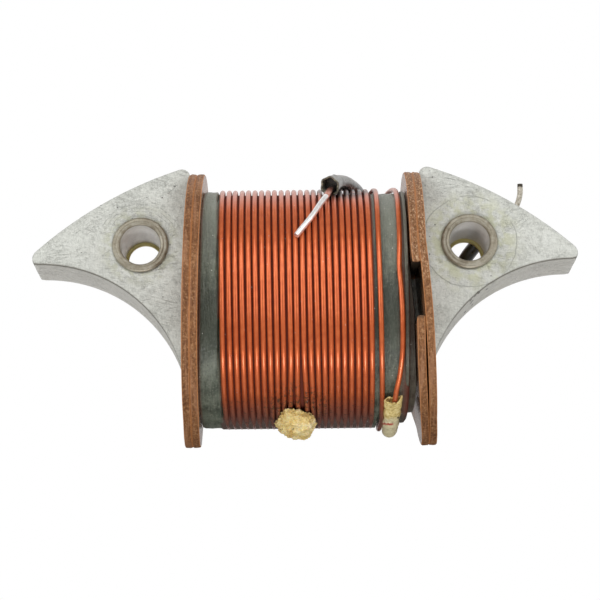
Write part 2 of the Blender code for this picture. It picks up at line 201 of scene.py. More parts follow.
class Finish:
    """A Principled material and the nodes that vary it, in the coil's own mm."""

    def __init__(self, name, colour, roughness, metallic=0.0, coat=0.0, coat_roughness=0.1, specular=0.5):
        self.material = material(name)
        self.tree = self.material.node_tree
        self.shader = self.tree.nodes["Principled BSDF"]
        preset(self.shader, {"Base Color": (*colour, 1.0), "Roughness": roughness, "Metallic": metallic,
                             "Coat Weight": coat, "Coat Roughness": coat_roughness,
                             "Specular IOR Level": specular})
        mapping = self.node("ShaderNodeMapping")
        preset(mapping, {"Location": -AXIS / MM, "Scale": (1 / MM,) * 3})
        self.link(self.node("ShaderNodeTexCoord").outputs["Object"], mapping.inputs["Vector"])
        self.place = mapping.outputs["Vector"]
        self.base = self.bump = None

    def node(self, kind):
        return self.tree.nodes.new(kind)

    def link(self, source, socket):
        self.tree.links.new(source, socket)

    def put(self, value, socket):
        """Link a socket's value, or set a plain one."""
        if isinstance(value, bpy.types.NodeSocket):
            self.link(value, socket)
        else:
            socket.default_value = value

    def stretched(self, scale, turn=(0, 0, 0), shift=(0, 0, 0)):
        """The coordinates turned, in degrees, then scaled along each axis and shifted."""
        spin = self.node("ShaderNodeVectorRotate")
        spin.rotation_type = "EULER_XYZ"
        preset(spin, {"Rotation": [math.radians(a) for a in turn]})
        self.link(self.place, spin.inputs["Vector"])
        mapping = self.node("ShaderNodeMapping")
        preset(mapping, {"Scale": scale, "Location": shift})
        self.link(spin.outputs["Vector"], mapping.inputs["Vector"])
        return mapping.outputs["Vector"]

    def noise(self, scale, detail=3.0, roughness=0.55, vector=None):
        """Soft noise about 0.5, its scale in features per mm."""
        made = self.node("ShaderNodeTexNoise")
        self.link(vector or self.place, made.inputs["Vector"])
        preset(made, {"Scale": scale, "Detail": detail, "Roughness": roughness})
        return made.outputs["Fac"]

    def cells(self, scale):
        """Distance to the nearest of scattered points."""
        made = self.node("ShaderNodeTexVoronoi")
        self.link(self.place, made.inputs["Vector"])
        preset(made, {"Scale": scale})
        return made.outputs["Distance"]

    def math(self, operation, a, b=0.0):
        made = self.node("ShaderNodeMath")
        made.operation = operation
        self.put(a, made.inputs[0])
        self.put(b, made.inputs[1])
        return made.outputs["Value"]

    def plus(self, a, b):
        return self.math("ADD", a, b)

    def minus(self, a, b):
        return self.math("SUBTRACT", a, b)

    def times(self, value, *factors):
        for factor in factors:
            value = self.math("MULTIPLY", value, factor)
        return value

    def most(self, a, b):
        return self.math("MAXIMUM", a, b)

    def size(self, a):
        return self.math("ABSOLUTE", a)

    def step(self, value, start, end):
        """0 at start, 1 at end, smooth between and clamped outside."""
        made = self.node("ShaderNodeMapRange")
        made.interpolation_type = "SMOOTHSTEP"
        self.put(value, made.inputs["Value"])
        rising = start < end
        preset(made, {"From Min": min(start, end), "From Max": max(start, end),
                      "To Min": 0.0 if rising else 1.0, "To Max": 1.0 if rising else 0.0})
        return made.outputs["Result"]

    def patches(self, scale, detail, start, end):
        """Soft-edged spots where the noise passes from start to end."""
        return self.step(self.noise(scale, detail), start, end)

    def ramp(self, value, *stops):
        made = self.node("ShaderNodeValToRGB")
        elements = made.color_ramp.elements
        while len(elements) < len(stops):
            elements.new(0.5)
        for element, (place, colour) in zip(elements, stops):
            element.position = place
            element.color = (*colour, 1.0)
        self.link(value, made.inputs["Fac"])
        return made.outputs["Color"]

    def mix(self, amount, a, b):
        made = self.node("ShaderNodeMix")
        made.data_type = "RGBA"
        self.put(amount, made.inputs[0])
        for value, socket in ((a, made.inputs[6]), (b, made.inputs[7])):
            self.put(value if isinstance(value, bpy.types.NodeSocket) else (*value, 1.0), socket)
        return made.outputs[2]

    def lay(self, mask, strength, colour):
        """Lay a colour over the base where the mask is, up to the strength."""
        self.base = self.mix(self.times(mask, strength), self.base, colour)

    def vector(self, operation, a, b=(0, 0, 0)):
        made = self.node("ShaderNodeVectorMath")
        made.operation = operation
        self.link(a, made.inputs[0])
        made.inputs[1].default_value = b
        return made.outputs["Value" if operation == "LENGTH" else "Vector"]

    def from_point(self, centre, up=0.0):
        """Distance from a point, with its part along Z scaled by up."""
        away = self.vector("MULTIPLY", self.vector("SUBTRACT", self.place, centre), (1, 1, up))
        return self.vector("LENGTH", away)

    def axis(self, letter):
        split = self.node("ShaderNodeSeparateXYZ")
        self.link(self.place, split.inputs[0])
        return split.outputs[letter]

    def slant(self):
        """Height along a direction tilted from +Y towards +Z."""
        return self.plus(self.times(self.axis("Y"), SLANT_Y), self.times(self.axis("Z"), SLANT_Z))

    def painted(self, name):
        """A value that the mesh carries at its points."""
        made = self.node("ShaderNodeAttribute")
        made.attribute_name = name
        return made.outputs["Fac"]

    def roughness(self, value, span, least):
        """Roughness that rises with a value in 0..1, from the least by the span."""
        self.link(self.plus(self.times(value, span), least), self.shader.inputs["Roughness"])

    def relief(self, height, depth):
        """Bump of a height map in 0..1, its full depth in mm, on top of the bumps before it."""
        made = self.node("ShaderNodeBump")
        preset(made, {"Strength": 1.0, "Distance": depth * MM})
        self.put(height, made.inputs["Height"])
        if self.bump is not None:
            self.link(self.bump, made.inputs["Normal"])
        self.bump = made.outputs["Normal"]
        self.link(self.bump, self.shader.inputs["Normal"])

    def finished(self):
        self.link(self.base, self.shader.inputs["Base Color"])
        return self.material


def scratches(f, turn, density, sharp, shift):
    """Sparse thin lines that run along one direction of the plane."""
    lines = f.noise(1.0, 1.0, 0.5, f.stretched((0.22, 5.0, 0.4), (0, 0, turn), shift))
    thin = f.step(f.size(f.minus(lines, 0.5)), sharp, 0.0)
    spots = f.noise(0.35, 2.0, 0.6, f.stretched((1, 1, 1), shift=(shift[1], shift[0], 3.0)))
    return f.times(thin, f.step(spots, density, density + 0.06))


# X and Z of the black crumbs that stick to the hollow of the right wing.
CRUMBS = ((23.9, 2.1), (22.75, 3.6), (22.2, 3.8), (21.95, 1.9), (21.77, 1.3), (22.56, 4.2), (21.64, 3.5),
          (22.2, -1.4), (21.24, -1.7))


def steel_finish():
    """Zinc-plated sheet: stained, scratched, with rust tints round the rivets and crumbs on one wing."""
    f = Finish("zinc_plated_steel", (0.5, 0.5, 0.46), 0.5, metallic=0.15, specular=0.45)
    pale, dull = (0.70, 0.71, 0.66), (0.335, 0.345, 0.315)
    broad = f.noise(0.2, 3.0, 0.55)
    fine = f.noise(1.5, 5.0, 0.7)
    grain = f.noise(3.6, 3.0, 0.7)
    f.base = f.ramp(broad, (0.32, (0.50, 0.51, 0.47)), (0.5, (0.555, 0.565, 0.52)), (0.7, (0.60, 0.61, 0.57)))
    f.lay(f.step(fine, 0.52, 0.64), 0.5, (0.33, 0.335, 0.30))
    f.lay(f.step(grain, 0.52, 0.72), 0.4, pale)
    f.lay(f.step(grain, 0.44, 0.3), 0.35, (0.38, 0.39, 0.35))
    for scale, turn, shift, strength in (((1.6, 7.0, 1.0), 6, (0, 0, 0), 0.6),
                                         ((7.0, 1.6, 1.0), -5, (9, 4, 0), 0.55),
                                         ((1.0, 3.6, 1.0), 28, (2, 7, 0), 0.25)):
        streak = f.noise(1.0, 4.0, 0.7, f.stretched(scale, (0, 0, turn), shift))
        f.lay(f.step(streak, 0.53, 0.68), strength, dull)
        f.lay(f.step(streak, 0.47, 0.33), strength, pale)
    right, left = (f.from_point(hole) for hole in (RIGHT_HOLE, LEFT_HOLE))
    rust = f.times(f.step(right, 8.0, 3.8), f.patches(0.7, 3.0, 0.4, 0.6))
    f.lay(rust, 0.6, (0.47, 0.48, 0.28))
    rust = f.times(f.step(left, 6.0, 3.8), f.patches(0.9, 3.0, 0.42, 0.62))
    f.lay(rust, 0.5, (0.45, 0.46, 0.31))
    side_wall = f.step(f.axis("Z"), 4.36, 4.3)
    f.lay(side_wall, 0.6, (0.52, 0.50, 0.46))
    marks = scratches(f, 17, 0.5, 0.012, (3, 9, 0))
    for turn, shift in ((-38, (7, 2, 0)), (62, (1, 5, 0)), (-8, (12, 4, 0))):
        marks = f.most(marks, scratches(f, turn, 0.53, 0.01, shift))
    wobble = f.times(f.noise(0.5, 2.0), 0.6)
    ring = f.size(f.minus(f.plus(right, wobble), 6.45))
    ring = f.times(f.step(ring, 0.12, 0.0), f.patches(0.22, 1.0, 0.38, 0.46))
    swirl = f.math("SINE", f.times(f.plus(left, wobble), 13.0))
    swirl = f.times(f.step(swirl, 0.7, 1.0), f.step(left, 6.4, 5.6), f.step(left, 3.9, 4.3),
                    f.step(f.axis("Y"), 9.5, 11.5), f.step(fine, 0.42, 0.52))
    marks = f.most(f.times(marks, 0.8), f.most(ring, f.times(swirl, 0.8)))
    f.lay(marks, 0.55, (0.20, 0.205, 0.18))
    pits = f.times(f.step(f.cells(0.75), 0.10, 0.055), f.patches(0.3, 1.0, 0.47, 0.53),
                   f.step(f.axis("Z"), 3.6, 4.1))
    for x, z in CRUMBS:
        y = HOLLOW_CENTRE[1] + math.sqrt(HOLLOW_RADIUS**2 - (HOLLOW_CENTRE[0] - x) ** 2)
        pits = f.most(pits, f.step(f.from_point((x, y, z), up=0.5), 0.26, 0.17))
    f.lay(pits, 0.85, (0.07, 0.065, 0.06))
    # Painted shade: a dark line along the front sheet's edge where it faces -Y.
    f.lay(f.painted("edge"), 0.85, (0.12, 0.11, 0.085))
    f.roughness(fine, 0.3, 0.34)
    f.relief(f.plus(f.times(grain, 0.6), fine), 0.035)
    f.relief(f.minus(1.0, f.most(marks, pits)), 0.03)
    return f.finished()


def rivet_finish():
    """Tarnished rivets: turned rims, a bore lightened with painted light, and a brassy back end."""
    f = Finish("rivet_steel", (0.42, 0.38, 0.31), 0.42, metallic=0.35)
    away = f.math("MINIMUM", f.from_point(RIGHT_HOLE), f.from_point(LEFT_HOLE))
    turned = f.times(f.plus(f.math("SINE", f.times(away, 26.0)), 1.0), 0.5)
    blotches = f.noise(1.1, 4.0, 0.65)
    f.base = f.ramp(blotches, (0.3, (0.19, 0.16, 0.11)), (0.5, (0.30, 0.275, 0.21)), (0.72, (0.42, 0.40, 0.33)))
    f.lay(turned, 0.25, (0.26, 0.22, 0.165))
    # Painted light: the bore's colour is raised to lighten it where it lies in shade.
    bore = f.step(away, 2.66, 2.6)
    f.base = f.mix(bore, f.base, f.mix(f.noise(1.4, 3.0), (0.60, 0.59, 0.57), (0.84, 0.82, 0.79)))
    far = f.step(f.axis("Z"), -3.6, -4.1)
    f.lay(far, 0.92, (0.55, 0.47, 0.15))
    f.roughness(blotches, 0.3, 0.2)
    f.relief(turned, 0.012)
    f.relief(f.noise(5.0, 3.0), 0.02)
    return f.finished()


def board_finish():
    """Hard paper: speckled ragged rims, smooth faces, painted highlight specks towards the top of the right
    cheeks, and painted shade in the right slot.
    """
    f = Finish("hard_paper_board", (0.36, 0.16, 0.07), 0.55, specular=0.28)
    broad = f.noise(0.22, 3.0)
    fibre = f.noise(1.0, 3.0, 0.7, f.stretched((4.2, 1.5, 1.5)))
    speck = f.noise(1.0, 4.0, 0.7, f.stretched((5.0, 2.2, 2.2), (0, 0, 0), (3, 5, 8)))
    f.base = f.ramp(broad, (0.32, (0.145, 0.052, 0.015)), (0.5, (0.215, 0.085, 0.027)),
                    (0.7, (0.275, 0.12, 0.045)))
    f.lay(f.step(fibre, 0.5, 0.66), 0.6, (0.12, 0.045, 0.018))
    f.lay(f.step(speck, 0.55, 0.68), 0.75, (0.52, 0.29, 0.14))
    grit = f.noise(2.9, 2.0, 0.8)
    f.lay(f.step(grit, 0.54, 0.64), 0.5, (0.47, 0.27, 0.13))
    f.lay(f.step(grit, 0.46, 0.37), 0.5, (0.07, 0.024, 0.008))
    # Painted highlight: extra pale specks towards the top of the right cheeks.
    painted_highlight_zone = f.times(f.step(f.axis("X"), 8.0, 9.0), f.step(f.slant(), 1.0, 9.0))
    f.lay(f.times(painted_highlight_zone, f.step(speck, 0.50, 0.66)), 0.75, (0.74, 0.52, 0.32))
    f.lay(f.step(speck, 0.46, 0.33), 0.65, (0.085, 0.03, 0.01))
    ply = f.noise(1.0, 1.0, 0.5, f.stretched((2.4, 0.12, 0.12), (0, 0, 1)))
    f.lay(f.step(ply, 0.5, 0.62), 0.4, (0.42, 0.21, 0.11))
    rim = f.painted("rim")
    smooth_face = f.step(rim, 0.35, 0.05)
    face = f.mix(f.step(fibre, 0.4, 0.7), (0.30, 0.15, 0.075), (0.20, 0.09, 0.04))
    f.base = f.mix(smooth_face, f.base, face)
    f.lay(f.step(rim, 0.72, 0.95), 0.75, (0.56, 0.23, 0.08))
    # Painted shade: the deep right slot darkened almost to black.
    slot = f.times(f.step(f.axis("X"), 12.6, 12.9), f.step(f.axis("X"), 14.75, 14.45),
                   f.step(f.size(f.plus(f.axis("Y"), 1.1)), 4.1, 3.8),
                   f.step(f.axis("Z"), 6.0, 9.0), f.step(f.axis("Z"), 17.75, 17.1))
    f.lay(slot, 0.95, (0.018, 0.014, 0.009))
    f.roughness(speck, 0.4, f.minus(0.36, f.times(smooth_face, 0.34)))
    f.relief(f.times(speck, f.step(rim, 0.1, 0.4)), 0.16)
    f.relief(fibre, 0.05)
    return f.finished()


def cloth_finish():
    """Green varnished cloth, darkened to red where the wire lies on it and by the cheeks as painted shade and
    painted reflection, and mauve-grey low down as painted shade.
    """
    f = Finish("varnished_cloth", (0.09, 0.10, 0.08), 0.42, specular=0.5)
    broad = f.noise(0.3, 4.0, 0.6)
    streak = f.noise(1.0, 4.0, 0.7, f.stretched((3.4, 0.4, 0.4)))
    fine = f.noise(3.0, 4.0, 0.7)
    f.base = f.ramp(broad, (0.36, (0.045, 0.055, 0.038)), (0.5, (0.09, 0.105, 0.075)),
                    (0.64, (0.14, 0.158, 0.118)))
    f.lay(f.step(streak, 0.48, 0.68), 0.5, (0.20, 0.205, 0.165))
    f.lay(f.step(streak, 0.46, 0.32), 0.5, (0.025, 0.028, 0.02))
    f.lay(f.step(fine, 0.54, 0.66), 0.5, (0.23, 0.245, 0.19))
    f.lay(f.step(fine, 0.46, 0.36), 0.4, (0.02, 0.024, 0.016))
    # Painted reflection: a dark band round the middle height, where the cloth faces the viewer.
    middle = f.step(f.size(f.plus(f.slant(), 0.8)), 6.5, 1.5)
    f.lay(middle, 0.7, (0.018, 0.023, 0.014))
    # Painted highlight: the cloth paler towards the top.
    f.lay(f.step(f.slant(), 5.0, 13.0), 0.55, (0.29, 0.31, 0.26))
    # Painted shade and painted red reflection under the turns and next to the cheeks, mauve-grey towards the
    # bottom.
    painted_shade = f.times(f.painted("painted_shade"), 0.93)
    sunk = f.step(f.slant(), -13.0, -14.5)
    f.base = f.mix(painted_shade, f.base, f.mix(sunk, (0.17, 0.021, 0.006), (0.085, 0.05, 0.042)))
    dust = f.times(f.step(f.cells(1.1), 0.10, 0.06), f.patches(0.6, 1.0, 0.52, 0.6))
    f.lay(dust, 0.7, (0.62, 0.62, 0.56))
    f.roughness(fine, 0.3, f.plus(f.times(painted_shade, 0.4), 0.28))
    weave = f.noise(1.0, 2.0, 0.5, f.stretched((5.0, 2.0, 2.0)))
    f.relief(f.plus(weave, streak), 0.09)
    return f.finished()


def enamel_finish():
    """Red enamelled wire: glossy, with a painted highlight towards the top and painted shade towards the
    bottom, and darker by the wax and sleeve.
    """
    f = Finish("enamelled_wire", (0.60, 0.085, 0.014), 0.3, metallic=0.56, coat=0.35, coat_roughness=0.15)
    along = f.noise(1.2, 3.0, 0.6)
    f.base = f.ramp(along, (0.3, (0.53, 0.10, 0.024)), (0.55, (0.61, 0.127, 0.031)),
                    (0.8, (0.69, 0.165, 0.045)))
    # Painted shade: mauve-grey towards the bottom.
    f.lay(f.step(f.slant(), -10.0, -14.6), 0.72, (0.26, 0.125, 0.10))
    # Painted highlight: pale pink-grey towards the top.
    f.lay(f.step(f.slant(), 12.6, 15.8), 0.45, (0.56, 0.40, 0.37))
    # Dark patches, only towards the bottom.
    blotches = f.times(f.patches(2.2, 4.0, 0.56, 0.66), f.step(f.slant(), -9.5, -13.5))
    f.lay(blotches, 0.8, (0.05, 0.03, 0.025))
    # Darker patches round the wax.
    near_wax = f.times(f.step(f.from_point((-1.2, -13.5, 7.0), up=1.0), 5.5, 3.0),
                       f.patches(2.4, 3.0, 0.5, 0.6))
    f.lay(near_wax, 0.85, (0.06, 0.035, 0.02))
    # Darker round where the start sleeve lies on the turns.
    near_sleeve = f.step(f.from_point((5.0, 14.6, 7.4), up=1.0), 5.0, 2.8)
    dark_by_sleeve = f.times(near_sleeve, f.patches(1.5, 3.0, 0.34, 0.44))
    f.lay(dark_by_sleeve, 0.95, (0.02, 0.012, 0.012))
    dust = f.times(f.step(f.cells(1.5), 0.10, 0.05), f.patches(0.5, 2.0, 0.5, 0.58))
    f.lay(dust, 0.8, (0.86, 0.74, 0.66))
    f.roughness(along, 0.1, 0.26)
    f.relief(f.noise(1.4, 2.0), 0.006)
    return f.finished()


def cream_finish():
    """The woven sleeve, with its red thread and a dark dot."""
    f = Finish("cream_sleeve", (0.6, 0.52, 0.26), 0.5)
    broad = f.noise(0.8, 3.0)
    fine = f.noise(2.6, 4.0, 0.65)
    upper = f.ramp(fine, (0.34, (0.36, 0.25, 0.07)), (0.5, (0.66, 0.51, 0.19)), (0.68, (0.84, 0.72, 0.38)))
    lower = f.ramp(fine, (0.34, (0.50, 0.43, 0.25)), (0.5, (0.70, 0.62, 0.38)), (0.68, (0.84, 0.77, 0.54)))
    height = f.plus(f.slant(), f.times(f.minus(broad, 0.5), 1.2))
    f.base = f.mix(f.step(height, -13.7, -14.3), upper, lower)
    band = f.plus(f.plus(f.slant(), 14.75), f.times(f.minus(fine, 0.5), 0.5))
    red = f.times(f.step(f.size(band), 0.17, 0.08), f.step(f.axis("X"), 11.2, 10.9))
    f.lay(red, 0.9, (0.42, 0.02, 0.015))
    dot = f.plus(f.size(f.minus(f.axis("X"), 11.65)),
                 f.size(f.plus(f.slant(), 13.85)))
    f.lay(f.step(dot, 0.24, 0.12), 0.9, (0.03, 0.02, 0.015))
    f.relief(f.noise(1.0, 3.0, 0.6, f.stretched((1.6, 5.0, 3.0))), 0.14)
    return f.finished()


def wax_finish():
    """Old wax, yellow in the folds and pale on top."""
    f = Finish("old_wax", (0.66, 0.55, 0.27), 0.5)
    preset(f.shader, {"Subsurface Weight": 0.25, "Subsurface Radius": (0.0012, 0.0008, 0.0003)})
    broad, fine = f.noise(0.7, 4.0, 0.6), f.noise(2.6, 5.0, 0.65)
    f.base = f.ramp(broad, (0.32, (0.58, 0.38, 0.11)), (0.5, (0.80, 0.62, 0.26)), (0.68, (0.92, 0.80, 0.48)))
    f.lay(f.step(fine, 0.58, 0.72), 0.5, (0.34, 0.26, 0.08))
    f.lay(f.step(fine, 0.42, 0.28), 0.6, (0.88, 0.82, 0.60))
    pits = f.times(f.step(f.cells(0.9), 0.25, 0.1), f.patches(0.5, 1.0, 0.5, 0.6))
    f.lay(pits, 0.8, (0.12, 0.10, 0.04))
    f.roughness(fine, 0.4, 0.3)
    f.relief(fine, 0.22)
    return f.finished()


def sleeve_finish():
    """Dark varnished tube, frayed at its cut end."""
    f = Finish("dark_sleeve", (0.08, 0.08, 0.07), 0.32, coat=0.5, coat_roughness=0.15)
    broad, fine = f.noise(0.6, 3.0), f.noise(3.0, 3.0)
    f.base = f.ramp(broad, (0.3, (0.05, 0.048, 0.038)), (0.7, (0.17, 0.165, 0.15)))
    f.lay(f.step(fine, 0.55, 0.75), 0.4, (0.30, 0.27, 0.18))
    shaded = f.times(f.step(f.slant(), 17.0, 16.2), f.step(f.axis("X"), 4.9, 5.4))
    f.lay(shaded, 0.95, (0.008, 0.007, 0.006))
    frayed = f.mix(f.step(fine, 0.4, 0.6), (0.09, 0.08, 0.05), (0.34, 0.33, 0.22))
    f.base = f.mix(f.step(f.painted("cut_end"), 0.15, 0.5), f.base, frayed)
    f.roughness(fine, 0.3, 0.16)
    f.relief(fine, 0.05)
    return f.finished()


def tinned_finish():
    """Bright tinned copper."""
    f = Finish("tinned_wire", (0.82, 0.81, 0.78), 0.28, metallic=0.8)
    fine = f.noise(2.2, 4.0, 0.6)
    f.base = f.ramp(fine, (0.25, (0.70, 0.69, 0.66)), (0.45, (0.88, 0.87, 0.85)), (0.7, (0.95, 0.94, 0.93)))
    f.roughness(fine, 0.3, 0.2)
    f.relief(fine, 0.03)
    return f.finished()


def bare_wire_finish():
    """The rear lead's dull wire, dark at its tip."""
    f = Finish("dull_bare_wire", (0.2, 0.18, 0.13), 0.6, metallic=0.2)
    fine = f.noise(3.0, 4.0, 0.6)
    f.base = f.ramp(fine, (0.3, (0.24, 0.21, 0.16)), (0.5, (0.50, 0.46, 0.38)), (0.72, (0.72, 0.68, 0.60)))
    f.base = f.mix(f.step(f.axis("Y"), 18.15, 18.35), f.base, (0.045, 0.035, 0.02))
    f.roughness(fine, 0.3, 0.45)
    f.relief(fine, 0.03)
    return f.finished()


def paper_finish(name, dark, light):
    """A layered finish for the nodes inside the coil, between two colours."""
    f = Finish(name, dark, 0.7)
    fine = f.noise(1.0, 4.0, 0.6, f.stretched((3.0, 0.8, 0.8)))
    f.base = f.ramp(fine, (0.3, dark), (0.7, light))
    f.relief(fine, 0.05)
    return f.finished()


STEEL, RIVET, BOARD, CLOTH = steel_finish(), rivet_finish(), board_finish(), cloth_finish()
ENAMEL, CREAM, WAX = enamel_finish(), cream_finish(), wax_finish()
DARK_SLEEVE, TINNED, BARE_WIRE = sleeve_finish(), tinned_finish(), bare_wire_finish()


# ---- meshes

def show(name, shape, finish, node, smooth=None):
    """Turn a bmesh into a piece that stands for one CAD node and rides on the coil."""
    data = bpy.data.meshes.new(name)
    shape.to_mesh(data)
    shape.free()
    data.materials.append(finish)
    data.shade_smooth()
    if smooth:
        data.set_sharp_from_angle(angle=math.radians(smooth))
    made = new_object(name, data)
    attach(made, "root")
    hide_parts(node)
    return made


def face_outwards(shape):
    bmesh.ops.recalc_face_normals(shape, faces=shape.faces)
    if shape.calc_volume(signed=True) < 0:
        bmesh.ops.reverse_faces(shape, faces=shape.faces)


def join_rings(shape, first, second):
    """Quads between two rings of bmesh corners."""
    count = len(first)
    for i in range(count):
        j = (i + 1) % count
        shape.faces.new((first[i], first[j], second[j], second[i]))


def ring_edges(shape, ring):
    return [shape.edges.get((ring[i], ring[(i + 1) % len(ring)])) for i in range(len(ring))]


def fill(shape, edges):
    bmesh.ops.triangle_fill(shape, use_beauty=True, use_dissolve=False, edges=edges)


def piece(name, verts, faces, finish, slot, node, smooth=40.0):
    """A closed mesh given in the coil's mm."""
    shape = bmesh.new()
    corners = [shape.verts.new(world(v)) for v in verts]
    for face in faces:
        shape.faces.new([corners[i] for i in face])
    face_outwards(shape)
    return show(name, shape, finish, node, smooth)


def paint(made, name, values):
    """Give the mesh a value at each of its points, for its material to read."""
    layer = made.data.attributes.new(name, "FLOAT", "POINT")
    layer.data.foreach_set("value", values)


def carried_frames(path, side=(0.3, 0.9, 0.2)):
    """At each point of a path its place, two directions across it and the one along it, without twist."""
    made = []
    side = Vector(side)
    for i, place in enumerate(path):
        along = (path[min(i + 1, len(path) - 1)] - path[max(i - 1, 0)]).normalized()
        side = (side - along * side.dot(along)).normalized()
        made.append((place, side, along.cross(side), along))
    return made


def loft(rings, endless=False):
    """Verts and faces of rings joined in order, back to the first or with a cap on each end."""
    count, last = len(rings[0]), len(rings) - 1
    verts = [v for ring in rings for v in ring]
    faces = []
    for r in range(last + endless):
        s = (r + 1) % len(rings)
        for i in range(count):
            j = (i + 1) % count
            faces.append((r * count + i, r * count + j, s * count + j, s * count + i))
    if not endless:
        faces += [tuple(range(count)), tuple(last * count + i for i in range(count))]
    return verts, faces


def swept(path, radius, sides, shape=None, side=(0.3, 0.9, 0.2), mouths=(None, None), ease=0.0, slip=None):
    """Verts and faces of a tube. shape(t, angle, place) scales the radius, t running 0..1 along it, and
    slip(t, angle) moves a point along it in mm. A mouth is (wall, depth) where an end is an open sleeve.
    ease rounds a closed end."""
    frames = carried_frames(path, side)
    last = len(frames) - 1

    def ring(i, inward=0.0, slide=0.0, scale=1.0):
        place, across, up, along = frames[i]
        made = []
        for k in range(sides):
            angle = math.tau * k / sides
            reach = radius * scale * (shape(i / last, angle, place) if shape else 1.0)
            reach = max(reach - inward, THINNEST)
            forward = slide + (slip(i / last, angle) if slip else 0.0)
            made.append(place + along * forward + (across * math.cos(angle) + up * math.sin(angle)) * reach)
        return made

    rings = [ring(i) for i in range(last + 1)]
    for end, mouth in zip((0, last), mouths):
        inner = []
        way = -1 if end == 0 else 1
        if mouth:
            wall, depth = mouth
            inner = [ring(end, wall * 0.3, way * wall * 0.25), ring(end, wall), ring(end, wall, -way * depth)]
        elif ease:
            inner = [ring(end, 0.0, way * ease * 0.45, 0.86), ring(end, 0.0, way * ease * 0.7, 0.55)]
        rings = list(reversed(inner)) + rings if end == 0 else rings + inner
    return loft(rings)


# ---- cords first

def build_rear_lead():
    """The sleeved lead that comes round behind the coil and ends bare behind the right wing."""
    route = [(11.25, -10.5, -12.6), (11.55, -7.9, -14.7), (12.3, -6.3, -16.9), (13.8, -5.2, -18.6),
             (16.0, -3.7, -19.1), (17.8, -1.0, -17.7), (18.9, 2.2, -14.8), (20.0, 5.4, -11.4),
             (21.5, 8.0, -8.5), (23.2, 10.1, -6.9), (25.0, 11.6, -6.4), (26.6, 12.9, -6.3)]
    path = smooth_path(route, 6)
    tube = swept(path, SLEEVE / 2, 20, lambda t, a, p: 1.0 + 0.03 * rough(p, 0.9, 3.0) - 0.015,
                 mouths=(None, (0.3, 1.0)), ease=0.5)
    sleeve = piece("rear_lead_tube", *tube, DARK_SLEEVE, "dark_sleeve", "rear_lead_sleeve")
    bare = smooth_path([(26.6, 12.9, -6.3), (26.8, 13.1, -6.3), (28.3, 14.4, -6.3), (29.2, 15.9, -6.2),
                        (29.6, 17.3, -6.1), (29.65, 18.7, -6.0)], 6)
    tube = swept(bare, WIRE / 2 + 0.05, WIRE_SIDES, lambda t, a, p: 1.0 + 0.05 * rough(p, 1.5, 8.0),
                 ease=0.05)
    wire = piece("rear_lead_bare_end", *tube, BARE_WIRE, "tinned_wire", "rear_lead_wire")


# ---- iron stack

def lean(side, y):
    """How far a pair of cheeks is pushed along +X at a height: the left tilts, the right bends out."""
    if side < 0:
        return y * LEFT_TILT
    below = max(0.0, RIGHT_BEND_Y - y)
    return min(below, 8.0) * RIGHT_LEAN + max(0.0, below - 8.0) * 0.062


def bow(side, y):
    """How far the inner right cheek stands off the outer one."""
    return -0.24 * math.sin(math.pi * limited((-4.0 - y) / 13.6)) if side > 0 else 0.0


def wing_outline(side):
    """One wing and half of the leg, with X away from the middle, from the leg's lower edge round."""
    cheek_x = LEFT_CHEEK_X if side < 0 else RIGHT_CHEEK_X
    foot_y = -8.6 if side < 0 else -7.2

    def inner(y):
        return cheek_x + WING_GAP + side * lean(side, y)

    foot_angle = math.pi - math.asin((foot_y - HOLLOW_CENTRE[1]) / HOLLOW_RADIUS)
    points = [(inner(-3.0), -LEG_WIDTH / 2), (inner(foot_y), foot_y)]
    points += arc(HOLLOW_CENTRE, HOLLOW_RADIUS, foot_angle, math.pi / 2, 48)
    corner_x = inner(WING_TOP_Y) + CORNER_ROUND
    pole_y = WING_TOP_Y - math.sqrt(POLE_RADIUS**2 - corner_x**2)
    nose_x = WING_TIP_X - TIP_NOSE
    nose_y = pole_y + math.sqrt((POLE_RADIUS - TIP_NOSE) ** 2 - nose_x**2)
    pole_end = math.atan2(nose_y - pole_y, nose_x)
    points += arc((nose_x, nose_y), TIP_NOSE, math.radians(-33), pole_end, 14)
    corner_y = pole_y + math.sqrt((POLE_RADIUS - CORNER_ROUND) ** 2 - corner_x**2)
    pole_start = math.atan2(corner_y - pole_y, corner_x)
    points += arc((0.0, pole_y), POLE_RADIUS, pole_end, pole_start, 40)[1:]
    points += arc((corner_x, corner_y), CORNER_ROUND, pole_start, math.pi, 12)[1:]
    points.append((inner(LEG_WIDTH / 2), LEG_WIDTH / 2))
    return points


def shrunk(outline, inset):
    """The outline moved inwards by the inset, corner by corner."""
    made = []
    for i, here in enumerate(outline):
        before, here, after = (Vector(p) for p in (outline[i - 1], here, outline[(i + 1) % len(outline)]))
        a = (here - before).normalized()
        b = (after - here).normalized()
        normal = (Vector((-a.y, a.x)) + Vector((-b.y, b.x))).normalized()
        share = max(0.5, normal.dot(Vector((-a.y, a.x))))
        made.append(tuple(here + normal * (inset / share)))
    return made


